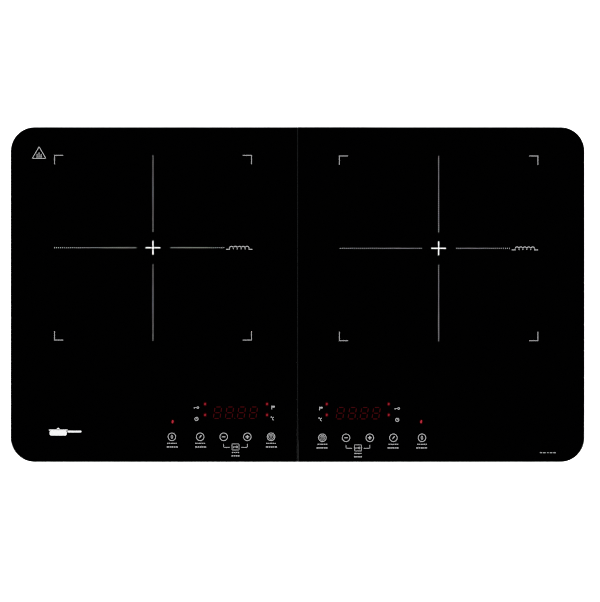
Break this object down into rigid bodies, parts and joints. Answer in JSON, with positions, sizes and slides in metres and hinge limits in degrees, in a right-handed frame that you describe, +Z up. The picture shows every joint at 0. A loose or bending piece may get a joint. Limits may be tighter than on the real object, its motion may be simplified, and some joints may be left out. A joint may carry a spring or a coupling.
{
  "type": "electric induction cooktop",
  "caption": "Low, wide worktop hob with a black glass top in two panels, printed cooking zones and touch keys, on a vented tray with rubber feet.",
  "frame": {"origin": "under the middle of the cooktop, on the surface that its rubber feet stand on", "axes": "+X to the user's right, +Y towards the back, +Z up"},
  "size_m": [0.6, 0.35, 0.064],
  "materials": {
    "black_abs": "fine-grained moulded ABS",
    "black_glass": "polished, opaque black ceramic glass",
    "seal_rubber": "smooth silicone strip",
    "foot_rubber": "matt moulded rubber",
    "silicone": "cured silicone bead",
    "zinc_steel": "bright zinc plate",
    "cream_plastic": "moulded polyamide",
    "wire_pvc": "smooth PVC insulation",
    "plate_foil": "thin blank foil",
    "mica": "pressed mica paper",
    "copper": "enamelled copper wire",
    "carrier_plastic": "glass-filled plastic",
    "ferrite": "sintered ferrite",
    "sensor_silicone": "white silicone",
    "lead_sleeve": "woven glass sleeve",
    "sheet_aluminium": "plain mill finish",
    "board_paper": "phenolic paper board",
    "board_green": "green solder mask",
    "device_black": "moulded epoxy",
    "capacitor_plastic": "moulded case",
    "transformer_tape": "polyester tape",
    "fan_black": "moulded PBT",
    "magnet": "bonded ferrite",
    "display_grey": "moulded display case",
    "led_red": "tinted lens",
    "spring_steel": "plated spring wire",
    "ribbon_grey": "flat PVC ribbon"
  },
  "bodies": {
    "chassis": {"bottom_tray": "black_abs", "top_frame": "black_abs", "centre_seal": "seal_rubber", "rubber_feet": "foot_rubber", "housing_screws": "zinc_steel", "inner_screws": "zinc_steel", "cord_gland": "foot_rubber", "terminal_block": "cream_plastic", "mains_harness": "wire_pvc", "rating_plate": "plate_foil", "left_glass": "black_glass", "left_glass_adhesive": "silicone", "left_mica_sheet": "mica", "left_coil_winding": "copper", "left_coil_carrier": "carrier_plastic", "left_ferrite_bars": "ferrite", "left_pan_sensor": "sensor_silicone", "left_coil_leads": "lead_sleeve", "left_coil_shelf": "sheet_aluminium", "left_power_board": "board_paper", "left_heatsink": "sheet_aluminium", "left_power_devices": "device_black", "left_capacitors": "capacitor_plastic", "left_choke": "copper", "left_transformer": "transformer_tape", "left_fan_frame": "fan_black", "left_fan_stator": "copper", "left_control_board": "board_green", "left_display": "display_grey", "left_indicator_leds": "led_red", "left_touch_springs": "spring_steel", "left_ribbon_cable": "ribbon_grey", "right_glass": "black_glass", "right_glass_adhesive": "silicone", "right_mica_sheet": "mica", "right_coil_winding": "copper", "right_coil_carrier": "carrier_plastic", "right_ferrite_bars": "ferrite", "right_pan_sensor": "sensor_silicone", "right_coil_leads": "lead_sleeve", "right_coil_shelf": "sheet_aluminium", "right_power_board": "board_paper", "right_heatsink": "sheet_aluminium", "right_power_devices": "device_black", "right_capacitors": "capacitor_plastic", "right_choke": "copper", "right_transformer": "transformer_tape", "right_fan_frame": "fan_black", "right_fan_stator": "copper", "right_control_board": "board_green", "right_display": "display_grey", "right_indicator_leds": "led_red", "right_touch_springs": "spring_steel", "right_ribbon_cable": "ribbon_grey"},
    "left_fan_rotor": {"left_fan_impeller": "fan_black", "left_fan_shaft": "zinc_steel", "left_fan_magnet": "magnet"},
    "right_fan_rotor": {"right_fan_impeller": "fan_black", "right_fan_shaft": "zinc_steel", "right_fan_magnet": "magnet"}
  },
  "joints": [
    {"name": "left_fan_spin", "type": "hinge", "parent": "chassis", "child": "left_fan_rotor", "pos_m": [-0.184, 0.075, 0.0205], "axis": [0, 0, 1], "continuous": true},
    {"name": "right_fan_spin", "type": "hinge", "parent": "chassis", "child": "right_fan_rotor", "pos_m": [0.184, 0.075, 0.0205], "axis": [0, 0, 1], "continuous": true}
  ]
}
